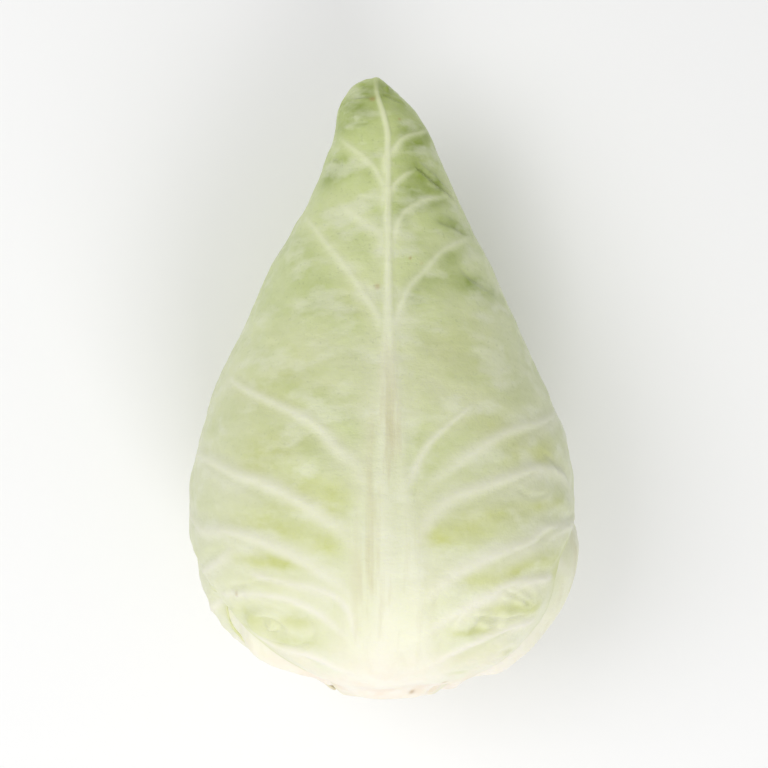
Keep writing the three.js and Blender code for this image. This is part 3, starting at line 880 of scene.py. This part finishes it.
def leaf_material(name, blade_stops, low_green, high_green):
    """Leaf skin: blade with its greens and painted shade, then veins, then painted sheen and shade
    toward its sides, then the tints of its foot, rim and scars.
    """
    n = Nodes(name)
    along = n.mask("along")
    cell = n.mask("cell")
    blade = n.ramp(along, blade_stops)
    mottle = n.range(n.noise(38, 5), 0.35, 0.70)
    fine = n.range(n.noise(260, 3), 0.3, 0.7)
    greening_and_shade = n.math("MULTIPLY", mottle, n.range(cell, 0, 1, 0.08, 0.42))
    # The green mask adds painted shade beside the veins and in the pucker troughs, along with the
    # leaf's own green.
    greening_and_shade = n.math("ADD", greening_and_shade, n.math("MULTIPLY", n.mask("green"), 0.80))
    greening_and_shade = n.math("MULTIPLY", greening_and_shade, n.range(along, 0.08, 0.60, 0.15, 1.0))
    blade = n.mix(greening_and_shade, blade, n.mix(n.range(along, 0.25, 0.60), low_green, high_green))
    blotch = n.range(n.noise(120, 5), 0.36, 0.64, 0.60, 1.0)
    # Deeper green patches: partly the leaf's own colour, partly painted shade beside veins and
    # folds.
    deep_green_and_shade = n.math("MULTIPLY", n.mask("deep_green_and_shade"), blotch)
    blade = n.mix(deep_green_and_shade, blade, colour(132, 152, 36))
    blade = n.mix(n.math("MULTIPLY", n.mask("yellow"), blotch), blade, colour(196, 202, 122))
    streak = n.range(n.noise(60, 6, (0.45, 2.2, 1)), 0.42, 0.62, 0.0, 0.42)
    streak_colour = n.mix(along, colour(214, 216, 166), colour(160, 178, 96))
    streak = n.math("MULTIPLY", streak, n.range(along, 0.08, 0.30, 0.35, 1.0))
    blade = n.mix(n.math("MULTIPLY", streak, cell), blade, streak_colour)
    paler = n.range(n.noise(85, 5, (0.7, 1.5, 1)), 0.50, 0.66, 0.0, 0.45)
    blade = n.mix(paler, blade, colour(230, 233, 206))
    speck = n.range(n.noise(720, 2), 0.62, 0.72, 0.0, 0.30)
    blade = n.mix(n.math("MULTIPLY", speck, along), blade, colour(140, 152, 104))
    blade = n.mix(n.math("MULTIPLY", fine, 0.10), blade, colour(236, 238, 214))

    vein_colour = n.ramp(along, VEIN)
    vein_strength = n.range(n.mask("vein"), 0.05, 0.80, 0.0, 0.80)
    surface = n.mix(vein_strength, blade, vein_colour)
    strand = n.range(n.noise(190, 4, (1, 0.05, 0.4)), 0.46, 0.60, 0.0, 0.70)
    strand = n.math("MULTIPLY", strand, n.mask("rib"))
    strand = n.math("MULTIPLY", strand, n.range(along, 0.10, 0.30))
    strand = n.math("MULTIPLY", strand, n.range(along, 0.45, 0.62, 1.0, 0.0))
    surface = n.mix(strand, surface, colour(204, 198, 158))
    # Painted sheen and shade: the sides are made greyer and darker as they turn away from the
    # camera, standing in for the waxy bloom's grazing sheen and the shade there.
    side = n.range(n.mask("side"), 0.40, 1.0, 0.0, 0.34)
    side = n.math("MULTIPLY", side, n.range(along, 0.12, 0.40, 0.20, 1.0))
    surface = n.mix(side, surface, colour(196, 203, 176))
    foot_blush = n.range(n.noise(130, 4), 0.40, 0.62)
    foot = n.math("MULTIPLY", n.range(along, 0.01, 0.17, 0.62, 0.0), foot_blush)
    surface = n.mix(foot, surface, colour(240, 222, 200))
    rim = n.math("MULTIPLY", n.mask("rim"), n.range(mottle, 0, 1, 0.25, 0.80))
    surface = n.mix(rim, surface, colour(206, 212, 140))
    scar = n.math("MULTIPLY", n.mask("scar"), 0.65)
    surface = n.mix(scar, surface, colour(176, 142, 88))
    n.set(n.shader.inputs["Base Color"], surface)

    n.set(n.shader.inputs["Roughness"], n.range(n.noise(70, 4), 0.3, 0.7, 0.40, 0.56))
    n.shader.inputs["Subsurface Weight"].default_value = 0.14
    n.shader.inputs["Subsurface Radius"].default_value = (0.9, 1.0, 0.4)
    n.shader.inputs["Subsurface Scale"].default_value = 0.003
    n.shader.inputs["Sheen Weight"].default_value = 0.10
    n.shader.inputs["Sheen Roughness"].default_value = 0.55
    n.shader.inputs["Specular IOR Level"].default_value = 0.42

    grain = n.math("MULTIPLY", n.noise(420, 4), 0.35)
    height = n.math("ADD", grain, n.math("MULTIPLY", n.noise(110, 5, (0.7, 1.6, 1)), 1.0))
    bumpy = n.add("ShaderNodeBump", Height=height, Strength=0.55, Distance=0.0010)
    n.set(n.shader.inputs["Normal"], bumpy.outputs["Normal"])
    return n.material


def stalk_material():
    """Cut flesh, with fibres, and browner towards its rim."""
    n = Nodes("cut_stalk_flesh")
    radial = n.mask("radial")
    flesh = n.ramp(radial, [
        (0.00, colour(236, 232, 208)), (0.45, colour(240, 236, 214)), (0.62, colour(222, 208, 168)),
        (0.72, colour(232, 222, 190)), (0.93, colour(226, 212, 176)), (1.00, colour(196, 168, 124)),
    ])
    fibre = n.range(n.noise(300, 6, (1, 0.3, 1)), 0.35, 0.65)
    flesh = n.mix(n.math("MULTIPLY", fibre, 0.30), flesh, colour(206, 188, 146))
    brown = n.range(n.noise(90, 5), 0.56, 0.74, 0.0, 0.6)
    brown = n.math("MULTIPLY", brown, n.range(radial, 0.4, 1, 0.2, 1))
    flesh = n.mix(brown, flesh, colour(176, 138, 92))
    n.set(n.shader.inputs["Base Color"], flesh)
    n.set(n.shader.inputs["Roughness"], n.range(n.noise(200, 4), 0.3, 0.7, 0.45, 0.7))
    n.shader.inputs["Subsurface Weight"].default_value = 0.1
    n.shader.inputs["Subsurface Scale"].default_value = 0.003
    bumpy = n.add("ShaderNodeBump", Height=n.noise(500, 6), Strength=0.35, Distance=0.0006)
    n.set(n.shader.inputs["Normal"], bumpy.outputs["Normal"])
    return n.material


OUTER_BLADE = [
    (0.00, colour(246, 240, 228)), (0.10, colour(243, 240, 222)), (0.20, colour(232, 233, 200)),
    (0.32, colour(217, 220, 184)), (0.50, colour(216, 220, 178)), (0.68, colour(213, 221, 166)),
    (0.84, colour(200, 211, 146)), (0.98, colour(178, 194, 114)),
]
INNER_BLADE = [
    (0.00, colour(246, 242, 228)), (0.12, colour(242, 240, 214)), (0.25, colour(234, 236, 198)),
    (0.45, colour(222, 226, 176)), (0.70, colour(206, 214, 152)), (0.98, colour(180, 196, 110)),
]
VEIN = [
    (0.00, colour(248, 238, 228)), (0.14, colour(247, 242, 231)), (0.30, colour(231, 230, 210)),
    (0.60, colour(234, 237, 206)), (1.00, colour(230, 236, 188)),
]


# ------------------------------------------------------------------ the cabbage

leaf_pieces = [leaf_piece(order) for order in range(len(LEAVES))]
heart = heart_piece()
stalk = stalk_piece()

outer_material = leaf_material(
    "outer_leaf_skin", OUTER_BLADE, colour(196, 204, 138), colour(176, 194, 108))
inner_material = leaf_material(
    "inner_leaf_skin", INNER_BLADE, colour(202, 212, 142), colour(188, 204, 118))
for leaf, piece in zip(LEAVES, leaf_pieces):
    piece.data.materials.append(outer_material if leaf["slot"] == "outer_leaf" else inner_material)
heart.data.materials.append(inner_material)
stalk.data.materials.append(stalk_material())


# ------------------------------------------------------------------ floor, light and camera

FLOOR_HALF_SIZE = 3.0
FLOOR_GAP = 0.2 * MM
LIGHT_AIM = (0, 0, 0.05)
PICTURE_WIDTH = 1.247 * HEAD_LENGTH
PICTURE_MIDDLE = 0.494 * HEAD_LENGTH
LENS = 100
SENSOR = 36


def make_floor():
    size = FLOOR_HALF_SIZE
    points = np.array([[-size, -size, 0], [size, -size, 0], [size, size, 0], [-size, size, 0]])
    mesh = bpy.data.meshes.new("floor")
    mesh.from_pydata(points.tolist(), [], [(0, 1, 2, 3)])
    floor = bpy.data.objects.new("floor", mesh)
    floor.location.z = -FLOOR_GAP
    bpy.context.scene.collection.objects.link(floor)
    n = Nodes("pale_floor")
    paint = n.mix(n.noise(3, 2), colour(246, 246, 246), colour(249, 249, 249))
    n.set(n.shader.inputs["Base Color"], paint)
    n.shader.inputs["Roughness"].default_value = 0.9
    mesh.materials.append(n.material)


def make_area_light(name, place, size, power):
    light = bpy.data.lights.new(name, "AREA")
    light.size = size
    light.energy = power
    lamp = bpy.data.objects.new(name, light)
    lamp.location = place
    direction = Vector(LIGHT_AIM) - Vector(place)
    lamp.rotation_euler = direction.to_track_quat("-Z", "Y").to_euler()
    bpy.context.scene.collection.objects.link(lamp)


make_floor()
make_area_light("soft_left", (-0.70, 0.10, 1.10), size=0.8, power=5.0)
make_area_light("soft_foot", (0.25, -0.95, 0.85), size=0.6, power=5.2)

world = bpy.data.worlds.new("pale_room")
world.use_nodes = True
background = world.node_tree.nodes["Background"]
background.inputs["Color"].default_value = (1.0, 1.0, 1.0, 1)
background.inputs["Strength"].default_value = 0.60
bpy.context.scene.world = world
bpy.context.scene.view_settings.view_transform = "Standard"

camera_data = bpy.data.cameras.new("camera")
camera_data.lens = LENS
camera_data.sensor_width = SENSOR
camera = bpy.data.objects.new("camera", camera_data)
camera_height = AXIS_Z + PICTURE_WIDTH * LENS / SENSOR
camera.location = (AXIS_X, FOOT_Y + PICTURE_MIDDLE, camera_height)
bpy.context.scene.collection.objects.link(camera)
bpy.context.scene.camera = camera
